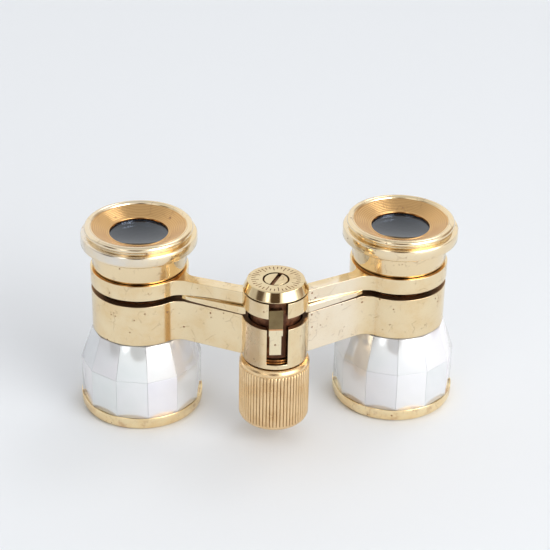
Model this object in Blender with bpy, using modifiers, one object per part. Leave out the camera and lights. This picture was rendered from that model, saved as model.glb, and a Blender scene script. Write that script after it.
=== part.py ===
"""Opera glasses: two mother-of-pearl barrels on a bridge, with a centre focusing knob.

The glasses stand on their two objective rims, eyepieces up. X runs from the left barrel
to the right one, Z is up, and the hub that carries the focusing screw stands in front of
the barrels, towards -Y. Turning the knob drives the upper bridge and both eyepieces along Z.
"""
import math

import bmesh
import bpy
from mathutils import Matrix, Vector

MM = 0.001
GAP = 0.3 * MM                 # air between neighbouring pieces

# Driving dimensions
BARREL_SPACING = 64.0 * MM     # between the two optical axes
BARREL_Y = 5.05 * MM
HUB_Y = -11.75 * MM
BARREL_X = BARREL_SPACING / 2

RIM_RADIUS = 15.25 * MM        # objective rim, the widest round of a barrel
RIM_TOP = 3.1 * MM
PEARL_RADIUS = 15.05 * MM      # to the corners between plates
PEARL_CREASE_Z = 13.6 * MM
PEARL_TOP_RADIUS = 12.2 * MM
PLATES_PER_ROW = 12
PLATE_TURN = math.radians(4.5)  # first corner, from straight ahead towards the hub

LOWER_BRIDGE_Z = 22.5 * MM
LOWER_BRIDGE_TOP = 33.3 * MM
LOWER_RING_RADIUS = 11.95 * MM
UPPER_ARM_Z = 35.0 * MM
UPPER_ARM_TOP = 39.0 * MM
UPPER_RING_RADIUS = 12.05 * MM
LEDGE_Z = 34.05 * MM           # underside of the ledge below each upper arm

HUB_RADIUS = 7.85 * MM
HUB_BORE = 6.5 * MM
HUB_NECK_RADIUS = 7.2 * MM     # upper hub below its band
HUB_BAND_Z = 36.3 * MM
HUB_BAND_TOP = 40.3 * MM
LOWER_SLOT_WIDTH = 4.9 * MM
UPPER_SLOT_WIDTH = 4.5 * MM
SLOT_FLOOR_Z = 23.7 * MM
ARM_FRONT = 3.5 * MM           # arm faces, from the line between ring and hub centres
ARM_REAR = -0.3 * MM
ARM_FILLET = 4.2 * MM

SHELL_WALL = 0.9 * MM
NECK_RADIUS = 9.9 * MM         # barrel shell inside the lower ring
DRAW_TUBE_RADIUS = 8.3 * MM
DRAW_TUBE_WALL = 0.7 * MM
EYECUP_TOP = 49.95 * MM
EYECUP_BORE = DRAW_TUBE_RADIUS + GAP
APERTURE_RADIUS = 7.1 * MM
EYE_LENS_TOP = 47.15 * MM      # at its edge; the face is hollow

SPINDLE_RADIUS = 1.9 * MM
CARRIAGE_RADIUS = HUB_BORE - GAP
KNOB_RADIUS = 8.55 * MM
KNOB_Z = 5.2 * MM
KNOB_TOP = 22.1 * MM
CAP_Z = HUB_BAND_TOP + GAP
CAP_TOP = 43.05 * MM
CAP_TOP_RADIUS = 6.8 * MM
SCREW_HEAD_RADIUS = 2.9 * MM

ROUND_STEPS = 40
INNER_STEPS = 28
SMALL_STEPS = 20


def make_material(name, colour, roughness, metallic):
    material = bpy.data.materials.new(name)
    material.use_nodes = True
    shader = material.node_tree.nodes["Principled BSDF"]
    shader.inputs["Base Color"].default_value = (*colour, 1.0)
    shader.inputs["Roughness"].default_value = roughness
    shader.inputs["Metallic"].default_value = metallic
    return material


def make_glass(name, colour):
    material = make_material(name, colour, 0.03, 0.0)
    material.node_tree.nodes["Principled BSDF"].inputs["Transmission Weight"].default_value = 0.9
    return material


BRASS = (0.76, 0.60, 0.36)
DARK_BRASS = (0.45, 0.30, 0.15)
BLACKENED = (0.03, 0.03, 0.035)


def clear_scene():
    for old in list(bpy.data.objects):
        bpy.data.objects.remove(old, do_unlink=True)


def new_collection(name):
    collection = bpy.data.collections.new(name)
    bpy.context.scene.collection.children.link(collection)
    return collection


clear_scene()
PARTS = new_collection("opera_glasses")
CUTTERS = new_collection("opera_glasses_cutters")


def add_empty(name, location, parent=None):
    empty = bpy.data.objects.new(name, None)
    empty.empty_display_size = 0.005
    empty.location = location
    empty.parent = parent
    PARTS.objects.link(empty)
    return empty


ROOT = add_empty("objective_body_frame", (0, 0, 0))
CARRIAGE = add_empty("carriage_frame", (0, HUB_Y, 0), ROOT)
FOCUS = add_empty("focus_frame", (0, HUB_Y, 0), ROOT)


def place(obj, parent, x, y):
    """Stand an object on the vertical axis at x, y, under the frame it moves with."""
    obj.parent = parent
    obj.location = Vector((x, y, 0)) - parent.location
    return obj


def profile_mesh(name, points, closed):
    """Edges through (radius, z) points in the XZ plane, for a Screw modifier."""
    mesh = bpy.data.meshes.new(name)
    bm = bmesh.new()
    verts = [bm.verts.new((radius, 0, z)) for radius, z in points]
    for first, second in zip(verts, verts[1:]):
        bm.edges.new((first, second))
    if closed:
        bm.edges.new((verts[-1], verts[0]))
    bm.to_mesh(mesh)
    bm.free()
    return mesh


def turned(name, points, material, parent, x, y, closed=True, steps=ROUND_STEPS):
    """A turned piece. Points run down the outer side, then up the bore or along the axis."""
    obj = bpy.data.objects.new(name, profile_mesh(name, points, closed))
    PARTS.objects.link(obj)
    screw = obj.modifiers.new("Turn", "SCREW")
    screw.steps = steps
    screw.render_steps = steps
    screw.use_merge_vertices = True
    screw.merge_threshold = 0.00001
    screw.use_smooth_shade = True
    obj.data.materials.append(material)
    return place(obj, parent, x, y)


def ring_profile(inner, outer, low, high):
    return [(outer, high), (outer, low), (inner, low), (inner, high)]


def as_mesh(curve_object, name):
    """Turn a filled curve into a welded mesh object and remove the curve."""
    graph = bpy.context.evaluated_depsgraph_get()
    mesh = bpy.data.meshes.new_from_object(curve_object.evaluated_get(graph))
    bm = bmesh.new()
    bm.from_mesh(mesh)
    bmesh.ops.remove_doubles(bm, verts=bm.verts, dist=0.000001)
    bm.to_mesh(mesh)
    bm.free()
    mesh.name = name
    obj = bpy.data.objects.new(name, mesh)
    obj.matrix_world = curve_object.matrix_world
    bpy.data.objects.remove(curve_object, do_unlink=True)
    return obj


def plate(name, outlines, low, high):
    """Extrude flat outlines, the first the outer edge and the others holes, from low to high."""
    curve = bpy.data.curves.new(name, "CURVE")
    curve.dimensions = "2D"
    curve.fill_mode = "BOTH"
    curve.extrude = (high - low) / 2
    for outline in outlines:
        spline = curve.splines.new("POLY")
        spline.points.add(len(outline) - 1)
        for point, (x, y) in zip(spline.points, outline):
            point.co = (x, y, 0, 1)
        spline.use_cyclic_u = True
    source = bpy.data.objects.new(name + "_curve", curve)
    source.location.z = (high + low) / 2
    CUTTERS.objects.link(source)
    bpy.context.view_layer.update()
    obj = as_mesh(source, name)
    obj.data.transform(obj.matrix_world)
    obj.matrix_world.identity()
    return obj


def circle(centre, radius, steps=ROUND_STEPS):
    angles = [2 * math.pi * index / steps for index in range(steps)]
    return [(centre[0] + radius * math.cos(a), centre[1] + radius * math.sin(a)) for a in angles]


def arc(centre, radius, start, end, steps):
    """Points on an arc from the start point's direction to the end point's, the short way."""
    first = math.atan2(start.y - centre.y, start.x - centre.x)
    sweep = math.atan2(end.y - centre.y, end.x - centre.x) - first
    sweep = (sweep + math.pi) % (2 * math.pi) - math.pi
    turns = [first + sweep * index / steps for index in range(steps + 1)]
    return [centre + Vector((math.cos(a), math.sin(a))) * radius for a in turns]


RING_CENTRE = Vector((BARREL_X, BARREL_Y))
HUB_CENTRE = Vector((0, HUB_Y))
ARM_ALONG = (HUB_CENTRE - RING_CENTRE).normalized()
ARM_SIDE = Vector((-ARM_ALONG.y, ARM_ALONG.x))      # towards the front for the right arm


def fillet(centre, radius, along, side, offset, blend):
    """Concave arc from a round of the given centre to the arm face at an offset from the line."""
    reach = math.sqrt((radius + blend) ** 2 - (offset + blend) ** 2)
    middle = centre + along * reach + side * (offset + blend)
    on_round = centre + (middle - centre) * (radius / (radius + blend))
    on_face = centre + along * reach + side * offset
    return arc(middle, blend, on_round, on_face, 6)


def half_outline(ring_radius, hub_radius, front, rear):
    """Right half of a bridge in plan, from the hub's front round the ring to the hub's back."""
    ring_front = fillet(RING_CENTRE, ring_radius, ARM_ALONG, ARM_SIDE, front, ARM_FILLET)
    ring_rear = fillet(RING_CENTRE, ring_radius, ARM_ALONG, -ARM_SIDE, rear, ARM_FILLET * 0.7)
    hub_front = fillet(HUB_CENTRE, hub_radius, -ARM_ALONG, ARM_SIDE, front, 1.0 * MM)
    hub_rear = fillet(HUB_CENTRE, hub_radius, -ARM_ALONG, -ARM_SIDE, rear, 3.0 * MM)
    outer = RING_CENTRE - ARM_ALONG * ring_radius
    hub_foot = HUB_CENTRE + Vector((0, -hub_radius))
    hub_back = HUB_CENTRE + Vector((0, hub_radius))
    points = arc(HUB_CENTRE, hub_radius, hub_foot, hub_front[0], 8)[:-1]
    points += hub_front
    points += list(reversed(ring_front))[:-1]
    points += arc(RING_CENTRE, ring_radius, ring_front[0], outer, 16)[:-1]
    points += arc(RING_CENTRE, ring_radius, outer, ring_rear[0], 16)[:-1]
    points += ring_rear
    points += list(reversed(hub_rear))[:-1]
    points += arc(HUB_CENTRE, hub_radius, hub_rear[0], hub_back, 6)
    return points


def bridge_outline(ring_radius, hub_radius, front, rear):
    right = half_outline(ring_radius, hub_radius, front, rear)
    left = [Vector((-point.x, point.y)) for point in reversed(right[1:-1])]
    return right + left


def box_cutter(name, low, high):
    mesh = bpy.data.meshes.new(name)
    bm = bmesh.new()
    bmesh.ops.create_cube(bm, size=1.0)
    size = Vector(high) - Vector(low)
    middle = (Vector(high) + Vector(low)) / 2
    for vert in bm.verts:
        vert.co = Vector(v * s for v, s in zip(vert.co, size)) + middle
    bm.to_mesh(mesh)
    bm.free()
    return cutter(bpy.data.objects.new(name, mesh))


def cutter(obj):
    CUTTERS.objects.link(obj)
    obj.hide_render = True
    obj.display_type = "WIRE"
    return obj


def boolean(obj, tool, operation):
    modifier = obj.modifiers.new(tool.name, "BOOLEAN")
    modifier.operation = operation
    modifier.solver = "EXACT"
    modifier.object = tool


def slot_cutter(name, width, low, high):
    """The slot cut through the front wall of a hub for the guide key."""
    return box_cutter(name, (-width / 2, HUB_Y - HUB_RADIUS - MM, low), (width / 2, HUB_Y, high))


def finish_plate(obj, material, parent):
    """Give a plate its material and hang it, in place, under the frame it moves with."""
    obj.data.materials.append(material)
    obj.data.shade_smooth()
    obj.data.set_sharp_from_angle(angle=math.radians(30))
    obj.data.transform(Matrix.Translation(-parent.location))
    obj.parent = parent
    PARTS.objects.link(obj)
    return obj


def build_lower_bridge(material):
    outline = bridge_outline(LOWER_RING_RADIUS, HUB_RADIUS, ARM_FRONT, ARM_REAR)
    bores = [circle((side * BARREL_X, BARREL_Y), NECK_RADIUS + GAP) for side in (-1, 1)]
    bores.append(circle((0, HUB_Y), HUB_BORE))
    bridge = plate("lower_bridge", [outline] + bores, LOWER_BRIDGE_Z, LOWER_BRIDGE_TOP)
    slot = slot_cutter("lower_slot", LOWER_SLOT_WIDTH, SLOT_FLOOR_Z, LOWER_BRIDGE_TOP + MM)
    boolean(bridge, slot, "DIFFERENCE")
    return finish_plate(bridge, material, ROOT)


def ledge_outline():
    """Wedge below an upper arm that grows out of the ring and reaches the hub's side."""
    start = RING_CENTRE + ARM_ALONG * 11.8 * MM + ARM_SIDE * (ARM_FRONT - 0.9 * MM)
    wide = RING_CENTRE + ARM_ALONG * 15.8 * MM + ARM_SIDE * (ARM_FRONT + 0.45 * MM)
    nose = HUB_CENTRE - ARM_ALONG * 6.3 * MM + ARM_SIDE * (ARM_FRONT + 1.0 * MM)
    inside = HUB_CENTRE - ARM_ALONG * 6.6 * MM
    back = RING_CENTRE + ARM_ALONG * 12.4 * MM + ARM_SIDE * MM
    return [start, wide, nose, inside, back]


def build_upper_bridge(material):
    outline = bridge_outline(UPPER_RING_RADIUS, HUB_NECK_RADIUS, ARM_FRONT, ARM_REAR)
    bores = [circle((side * BARREL_X, BARREL_Y), EYECUP_BORE) for side in (-1, 1)]
    bridge = plate("upper_bridge", [outline] + bores, UPPER_ARM_Z, UPPER_ARM_TOP)
    band = plate("hub_band", [circle((0, HUB_Y), HUB_RADIUS)], HUB_BAND_Z, HUB_BAND_TOP)
    bore = plate("hub_bore", [circle((0, HUB_Y), HUB_BORE)], LEDGE_Z - MM, HUB_BAND_TOP + MM)
    boolean(bridge, cutter(band), "UNION")
    right = [(point.x, point.y) for point in ledge_outline()]
    left = [(-x, y) for x, y in reversed(right)]
    for name, wedge in (("ledge_right", right), ("ledge_left", left)):
        boolean(bridge, cutter(plate(name, [wedge], LEDGE_Z, UPPER_ARM_Z + 0.5 * MM)), "UNION")
    boolean(bridge, cutter(bore), "DIFFERENCE")
    slot = slot_cutter("upper_slot", UPPER_SLOT_WIDTH, LEDGE_Z - MM, HUB_BAND_TOP + MM)
    boolean(bridge, slot, "DIFFERENCE")
    return finish_plate(bridge, material, CARRIAGE)


def pearl_row(name, low, high, low_radius, high_radius, wall, material, x):
    """One row of plates as one solid: a turned wall with a flat facet for each plate."""
    row = turned(name, [
        (high_radius, high),
        (low_radius, low),
        (low_radius - wall, low),
        (high_radius - wall, high)], material, ROOT, x, BARREL_Y, steps=PLATES_PER_ROW)
    row.modifiers["Turn"].use_smooth_shade = False
    row.rotation_euler.z = PLATE_TURN * (1 if x < 0 else -1) - math.pi / 2


def build_barrel(side, x):
    brass = make_material("shell_brass_" + side, DARK_BRASS, 0.4, 1.0)
    pearl = make_material("pearl_" + side, (0.86, 0.85, 0.84), 0.25, 0.0)
    wall = 1.55 * MM
    crease_shell = PEARL_RADIUS - wall - 2 * GAP
    top_shell = PEARL_TOP_RADIUS - wall - 2 * GAP
    foot = RIM_TOP + GAP
    top = LOWER_BRIDGE_Z - GAP
    inner_neck = NECK_RADIUS - 0.6 * MM
    turned("barrel_" + side, [
        (NECK_RADIUS, LOWER_BRIDGE_TOP - 0.1 * MM),
        (NECK_RADIUS, top - MM),
        (top_shell, top - MM),
        (crease_shell, PEARL_CREASE_Z),
        (crease_shell, foot),
        (crease_shell - SHELL_WALL, foot),
        (crease_shell - SHELL_WALL, PEARL_CREASE_Z - 0.3 * MM),
        (inner_neck, top - 2.5 * MM),
        (inner_neck, LOWER_BRIDGE_TOP - 0.1 * MM)], brass, ROOT, x, BARREL_Y)
    pearl_row("pearl_lower_" + side, foot, PEARL_CREASE_Z, PEARL_RADIUS, PEARL_RADIUS, wall, pearl, x)
    pearl_row("pearl_upper_" + side, PEARL_CREASE_Z + 0.1 * MM, top, PEARL_RADIUS,
              PEARL_TOP_RADIUS, wall, pearl, x)


def build_rim(side, x):
    lip = 11.3 * MM
    seat = 11.9 * MM
    turned("rim_" + side, [
        (RIM_RADIUS - 0.25 * MM, RIM_TOP),
        (RIM_RADIUS, RIM_TOP - 0.25 * MM),
        (RIM_RADIUS, 1.9 * MM),
        (RIM_RADIUS - 0.2 * MM, 0.9 * MM),
        (RIM_RADIUS - 0.75 * MM, 0.15 * MM),
        (RIM_RADIUS - 1.1 * MM, 0.0),
        (RIM_RADIUS - 2.6 * MM, 0.0),
        (lip, 0.4 * MM),
        (lip, 1.0 * MM),
        (seat, 1.0 * MM),
        (seat, RIM_TOP)], make_material("rim_brass_" + side, BRASS, 0.25, 1.0), ROOT, x, BARREL_Y)


def lens_profile(radius, low, edge, bulge_up, bulge_down, steps=3):
    """Half section of a lens on its axis, from the top pole out to the edge and back."""
    points = []
    for index in range(steps + 1):
        share = index / steps
        points.append((radius * share, low + edge + bulge_up * (1 - share * share)))
    for index in range(steps, -1, -1):
        share = index / steps
        points.append((radius * share, low - bulge_down * (1 - share * share)))
    return points


def build_objective(side, x):
    glass = make_glass("objective_glass_" + side, (0.75, 0.8, 0.85))
    turned("objective_lens_" + side, lens_profile(11.6 * MM, 1.9 * MM, 1.4 * MM, 0.5 * MM, 0.6 * MM),
           glass, ROOT, x, BARREL_Y, closed=False, steps=INNER_STEPS)
    turned("objective_retainer_" + side, ring_profile(10.6 * MM, 11.6 * MM, 4.1 * MM, 5.4 * MM),
           make_material("retainer_black_" + side, BLACKENED, 0.6, 0.3), ROOT, x, BARREL_Y,
           steps=INNER_STEPS)


def build_eyepiece(side, x):
    brass = make_material("eyecup_brass_" + side, BRASS, 0.22, 1.0)
    neck = 11.6 * MM
    flange = 14.15 * MM
    turned("eyecup_" + side, [
        (11.3 * MM, 49.4 * MM),
        (12.0 * MM, 49.85 * MM),
        (12.4 * MM, EYECUP_TOP),
        (12.9 * MM, 49.75 * MM),
        (13.25 * MM, 49.3 * MM),
        (13.25 * MM, 48.5 * MM),
        (13.0 * MM, 48.2 * MM),
        (13.4 * MM, 47.95 * MM),
        (flange, 47.6 * MM),
        (flange, 45.6 * MM),
        (flange - 0.5 * MM, 44.9 * MM),
        (12.3 * MM, 44.3 * MM),
        (neck, 43.6 * MM),
        (neck, 39.75 * MM),
        (11.1 * MM, 39.6 * MM),
        (11.1 * MM, UPPER_ARM_TOP + 0.2 * MM),
        (EYECUP_BORE, UPPER_ARM_TOP + 0.2 * MM),
        (EYECUP_BORE, EYE_LENS_TOP + GAP),
        (APERTURE_RADIUS, EYE_LENS_TOP + GAP),
        (APERTURE_RADIUS, 47.9 * MM)], brass, CARRIAGE, x, BARREL_Y)
    turned("eyepiece_tube_" + side,
           ring_profile(DRAW_TUBE_RADIUS - DRAW_TUBE_WALL, DRAW_TUBE_RADIUS, 17.5 * MM, 43.3 * MM),
           make_material("draw_tube_brass_" + side, DARK_BRASS, 0.35, 1.0), CARRIAGE, x, BARREL_Y,
           steps=INNER_STEPS)
    turned("eyepiece_retainer_" + side,
           ring_profile(APERTURE_RADIUS, DRAW_TUBE_RADIUS, 43.6 * MM, 44.8 * MM),
           make_material("eyepiece_retainer_black_" + side, BLACKENED, 0.6, 0.3), CARRIAGE, x, BARREL_Y,
           steps=INNER_STEPS)
    turned("eyepiece_lens_" + side,
           lens_profile(DRAW_TUBE_RADIUS, EYE_LENS_TOP - 2.0 * MM, 2.0 * MM, -1.0 * MM, -0.4 * MM),
           make_glass("eyepiece_glass_" + side, (0.1, 0.12, 0.16)), CARRIAGE, x, BARREL_Y,
           closed=False, steps=INNER_STEPS)


def build_seal(side, x):
    inner = DRAW_TUBE_RADIUS + 0.2 * MM
    turned("draw_tube_seal_" + side, ring_profile(inner, NECK_RADIUS - 0.8 * MM, 27.0 * MM, 32.0 * MM),
           make_material("felt_" + side, (0.04, 0.035, 0.03), 0.95, 0.0), ROOT, x, BARREL_Y,
           steps=INNER_STEPS)


def build_focus_gear():
    """Knob, threaded spindle, its collar and end screw: all turn about the hub's axis."""
    brass = make_material("knob_brass", BRASS, 0.35, 1.0)
    steel = make_material("spindle_steel", (0.55, 0.55, 0.56), 0.35, 1.0)
    bore = SPINDLE_RADIUS + GAP
    turned("focus_knob", [
        (KNOB_RADIUS - 0.75 * MM, KNOB_TOP),
        (KNOB_RADIUS, KNOB_TOP - 1.3 * MM),
        (KNOB_RADIUS, KNOB_Z + 1.2 * MM),
        (KNOB_RADIUS - 0.9 * MM, KNOB_Z),
        (3.4 * MM, KNOB_Z),
        (3.4 * MM, KNOB_Z + 1.6 * MM),
        (bore, KNOB_Z + 1.6 * MM),
        (bore, KNOB_TOP)], brass, FOCUS, 0, HUB_Y, steps=60)
    turned("focus_spindle", [
        (0, 37.3 * MM),
        (SPINDLE_RADIUS, 37.0 * MM),
        (SPINDLE_RADIUS, 9.3 * MM),
        (0, 9.3 * MM)], steel, FOCUS, 0, HUB_Y, closed=False, steps=SMALL_STEPS)
    turned("thrust_collar", ring_profile(bore, 4.2 * MM, 24.5 * MM, 25.7 * MM), steel, FOCUS, 0, HUB_Y,
           steps=SMALL_STEPS)
    turned("knob_end_screw", [
        (0, 9.0 * MM),
        (1.6 * MM, 9.0 * MM),
        (1.6 * MM, 6.5 * MM),
        (3.1 * MM, 6.5 * MM),
        (3.1 * MM, 5.7 * MM),
        (2.7 * MM, 5.4 * MM),
        (0, 5.4 * MM)], make_material("end_screw_brass", BRASS, 0.3, 1.0), FOCUS, 0, HUB_Y,
        closed=False, steps=SMALL_STEPS)


def build_carriage():
    """The nut tube that climbs the spindle, its guide key, and the cap that ties it to the bridge."""
    dark = make_material("carriage_brass", DARK_BRASS, 0.4, 1.0)
    bore = SPINDLE_RADIUS + GAP
    turned("carriage_tube", [
        (CARRIAGE_RADIUS, 40.2 * MM),
        (CARRIAGE_RADIUS, 24.8 * MM),
        (4.7 * MM, 24.8 * MM),
        (4.7 * MM, 27.5 * MM),
        (bore, 27.5 * MM),
        (bore, 40.2 * MM)], dark, CARRIAGE, 0, HUB_Y)
    turned("hub_cap", [
        (CAP_TOP_RADIUS, CAP_TOP),
        (CAP_TOP_RADIUS + 0.15 * MM, CAP_TOP - 0.15 * MM),
        (HUB_RADIUS, CAP_Z + 0.25 * MM),
        (HUB_RADIUS - 0.2 * MM, CAP_Z),
        (bore, CAP_Z),
        (bore, CAP_TOP - 1.3 * MM),
        (SCREW_HEAD_RADIUS + GAP, CAP_TOP - 1.3 * MM),
        (SCREW_HEAD_RADIUS + GAP, CAP_TOP)], make_material("cap_brass", BRASS, 0.2, 1.0), CARRIAGE, 0, HUB_Y)
    turned("cap_screw", [
        (0, CAP_TOP - 0.05 * MM),
        (SCREW_HEAD_RADIUS, CAP_TOP - 0.05 * MM),
        (SCREW_HEAD_RADIUS, CAP_TOP - 1.0 * MM),
        (SPINDLE_RADIUS, CAP_TOP - 1.0 * MM),
        (SPINDLE_RADIUS, 38.3 * MM),
        (0, 38.3 * MM)], make_material("cap_screw_brass", BRASS, 0.25, 1.0), CARRIAGE, 0, HUB_Y,
        closed=False, steps=SMALL_STEPS)
    build_guide_key(make_material("guide_key_brass", BRASS, 0.3, 1.0))


def build_guide_key(material):
    """A flat bar, wider above; it runs in both slots and stops the carriage turning."""
    back = HUB_Y - CARRIAGE_RADIUS - GAP
    front = back - 0.6 * MM
    centre = -0.25 * MM
    wide = 1.7 * MM
    narrow = 1.45 * MM
    foot = 26.2 * MM
    shoulder = 31.4 * MM
    top = 38.4 * MM
    outline = [(centre - narrow, foot), (centre + narrow, foot), (centre + narrow, shoulder),
               (centre + wide, shoulder), (centre + wide, top), (centre - wide, top),
               (centre - wide, shoulder), (centre - narrow, shoulder)]
    key = plate("guide_key", [outline], -back, -front)
    key.data.transform(Matrix.Rotation(math.radians(90), 4, "X"))
    return finish_plate(key, material, CARRIAGE)


def build_hub_bush():
    bore = SPINDLE_RADIUS + GAP
    turned("hub_bush", ring_profile(bore, HUB_BORE - GAP, 22.6 * MM, 24.2 * MM),
           make_material("bush_brass", DARK_BRASS, 0.4, 1.0), ROOT, 0, HUB_Y)


build_lower_bridge(make_material("lower_bridge_brass", BRASS, 0.22, 1.0))
build_upper_bridge(make_material("upper_bridge_brass", BRASS, 0.2, 1.0))
for side_name, barrel_x in (("left", -BARREL_X), ("right", BARREL_X)):
    build_barrel(side_name, barrel_x)
    build_rim(side_name, barrel_x)
    build_objective(side_name, barrel_x)
    build_seal(side_name, barrel_x)
    build_eyepiece(side_name, barrel_x)
build_hub_bush()
build_focus_gear()
build_carriage()
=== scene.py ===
import math
import random

import bmesh
import bpy
from mathutils import Matrix, Vector


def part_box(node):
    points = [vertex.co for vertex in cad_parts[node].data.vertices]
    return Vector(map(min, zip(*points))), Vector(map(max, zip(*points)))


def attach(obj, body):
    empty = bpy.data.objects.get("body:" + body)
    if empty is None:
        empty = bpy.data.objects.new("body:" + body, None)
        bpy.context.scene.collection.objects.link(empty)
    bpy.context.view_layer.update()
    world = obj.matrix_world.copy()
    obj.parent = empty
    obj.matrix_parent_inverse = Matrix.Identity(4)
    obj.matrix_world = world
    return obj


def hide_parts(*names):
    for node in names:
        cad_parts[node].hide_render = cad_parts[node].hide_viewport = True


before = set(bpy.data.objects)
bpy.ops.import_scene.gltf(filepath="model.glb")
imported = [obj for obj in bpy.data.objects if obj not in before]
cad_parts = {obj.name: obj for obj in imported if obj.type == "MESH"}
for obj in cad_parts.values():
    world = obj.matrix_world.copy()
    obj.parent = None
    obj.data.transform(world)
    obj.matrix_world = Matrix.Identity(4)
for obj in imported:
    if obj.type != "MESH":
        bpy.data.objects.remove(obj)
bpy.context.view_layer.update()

MM = 0.001
SIDES = ("left", "right")


class Value:
    """A shader socket that adds a Math node for each operator used on it."""

    def __init__(self, finish, socket):
        self.finish = finish
        self.socket = socket

    def maths(self, operation, *inputs):
        return self.finish.node("ShaderNodeMath", {"operation": operation}, dict(enumerate(inputs)))

    def __add__(self, other):
        return self.maths("ADD", self, other)

    def __sub__(self, other):
        return self.maths("SUBTRACT", self, other)

    def __rsub__(self, other):
        return self.maths("SUBTRACT", other, self)

    def __mul__(self, other):
        return self.maths("MULTIPLY", self, other)

    def __pow__(self, other):
        return self.maths("POWER", self, other)

    __radd__ = __add__
    __rmul__ = __mul__

    def between(self, low, high):
        """0 below low and 1 above high, with a soft step between them."""
        settings = {"interpolation_type": "SMOOTHSTEP"}
        return self.finish.node("ShaderNodeMapRange", settings, {0: self, 1: low, 2: high})


class Finish:
    """A surface finish: a Principled shader, and one method that adds any other node."""

    def __init__(self, name, **constants):
        self.material = bpy.data.materials.new(name)
        self.material.use_nodes = True
        self.tree = self.material.node_tree
        self.shader = self.tree.nodes["Principled BSDF"]
        self.set(**constants)

    def set(self, **values):
        """Set or link sockets of the shader by name, with _ for a space."""
        for name, value in values.items():
            self.feed(self.shader.inputs[name.replace("_", " ")], value)

    def feed(self, socket, value):
        if isinstance(value, Value):
            self.tree.links.new(value.socket, socket)
        elif isinstance(value, tuple) and len(value) == 3 and socket.type == "RGBA":
            socket.default_value = (*value, 1.0)
        else:
            socket.default_value = value

    def node(self, kind, settings=None, inputs=None, output=0):
        made = self.tree.nodes.new(kind)
        for name, value in (settings or {}).items():
            if name == "stops":
                fill_ramp(made.color_ramp, value)
            else:
                setattr(made, name, value)
        for key, value in (inputs or {}).items():
            self.feed(made.inputs[key], value)
        return Value(self, made.outputs[output])

    def place(self):
        """The point of the surface, in metres in the frame of the whole object."""
        return self.node("ShaderNodeTexCoord", output="Object")

    def part(self, where, axis):
        """The x, y or z of a place, as axis 0, 1 or 2."""
        return self.node("ShaderNodeSeparateXYZ", {}, {0: where}, output=axis)

    def reach(self, where, x, y):
        """Distance from an upright axis."""
        across = self.part(where, 0) - x
        along = self.part(where, 1) - y
        return (across * across + along * along) ** 0.5

    def noise(self, where, scale, detail=2.0, rough=0.5, distortion=0.0):
        inputs = {"Vector": where, "Scale": scale, "Detail": detail, "Roughness": rough,
                  "Distortion": distortion}
        return self.node("ShaderNodeTexNoise", {}, inputs)

    def mix(self, share, first, second):
        return self.node("ShaderNodeMix", {"data_type": "RGBA"}, {0: share, 6: first, 7: second}, output=2)

    def bump(self, height, distance, strength=1.0):
        inputs = {"Height": height, "Distance": distance, "Strength": strength}
        return self.node("ShaderNodeBump", {}, inputs)


def fill_ramp(ramp, stops):
    while len(ramp.elements) > 1:
        ramp.elements.remove(ramp.elements[-1])
    for index, (position, colour) in enumerate(stops):
        element = ramp.elements[0] if index == 0 else ramp.elements.new(position)
        element.position = position
        element.color = (*colour, 1.0)


def dress(node, finish):
    """Give a CAD node that stays in view its finish."""
    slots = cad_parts[node].data.materials
    slots.clear()
    slots.append(finish.material)


old_brass = Finish("old_brass", Metallic=1.0)
where = old_brass.place()
brown_share = old_brass.noise(where, 420, detail=5, rough=0.6)
old_brass.set(
    Base_Color=old_brass.mix(brown_share.between(0.35, 0.7), (0.30, 0.13, 0.05), (0.62, 0.34, 0.15)),
    Roughness=0.28 + brown_share * 0.2)
for side in SIDES:
    dress("barrel_" + side, old_brass)


# Objective rims.
# The glasses stand on these two gilt brass rings. Each is turned, with a rolled lower edge, and
# holds its front lens against a small lip. The gilding is worn and spotted where it meets the table.
ROUND = 128                    # steps in a full turn of a visible round piece
ONE_POINT = 0.001 * MM         # points this close are one
# Brown for pits and tarnish, also used as painted shade.
TARNISH_AND_SHADE_BROWN = (0.23, 0.105, 0.055)
LIP = 0.38 * MM                # height of the thin lip round the foot of the pearl plates


def spun(outline, x, y, steps=ROUND, closed=True):
    """A half section of (radius, height) points, turned round the upright axis at x, y."""
    mesh = bmesh.new()
    points = [mesh.verts.new((x + radius, y, height)) for radius, height in outline]
    edges = [mesh.edges.new(pair) for pair in zip(points, points[1:])]
    if closed:
        edges.append(mesh.edges.new((points[-1], points[0])))
    bmesh.ops.spin(mesh, geom=points + edges, axis=(0, 0, 1), cent=(x, y, 0),
                   angle=2 * math.pi, steps=steps, use_merge=True)
    bmesh.ops.remove_doubles(mesh, verts=mesh.verts, dist=ONE_POINT)
    bmesh.ops.recalc_face_normals(mesh, faces=mesh.faces)
    return mesh


def soften(mesh, width, clamp=True):
    """Round every edge that turns by more than 30 degrees."""
    sharp = [edge for edge in mesh.edges if edge.calc_face_angle(0) > math.radians(30)]
    bmesh.ops.bevel(mesh, geom=sharp, offset=width, segments=3, profile=0.5,
                    affect="EDGES", clamp_overlap=clamp, material=-1)
    clean(mesh, ONE_POINT)


def clean(mesh, size):
    """Close up edges and slivers shorter than a size."""
    bmesh.ops.remove_doubles(mesh, verts=mesh.verts, dist=size)
    bmesh.ops.dissolve_degenerate(mesh, edges=mesh.edges, dist=size)


def make_piece(name, mesh, finish, body, slot, *nodes, sharp=35):
    """Turn a bmesh into a smooth-shaded piece that rides on a body and stands for CAD nodes."""
    data = bpy.data.meshes.new(name)
    mesh.to_mesh(data)
    mesh.free()
    data.materials.append(finish.material)
    data.shade_smooth()
    data.set_sharp_from_angle(angle=math.radians(sharp))
    piece = bpy.data.objects.new(name, data)
    bpy.context.scene.collection.objects.link(piece)
    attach(piece, body)
    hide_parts(*nodes)
    return piece


def round_node(node):
    """Axis, radius, foot and top of a round CAD node."""
    low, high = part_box(node)
    return (low[0] + high[0]) / 2, (low[1] + high[1]) / 2, (high[0] - low[0]) / 2, low[2], high[2]


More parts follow.
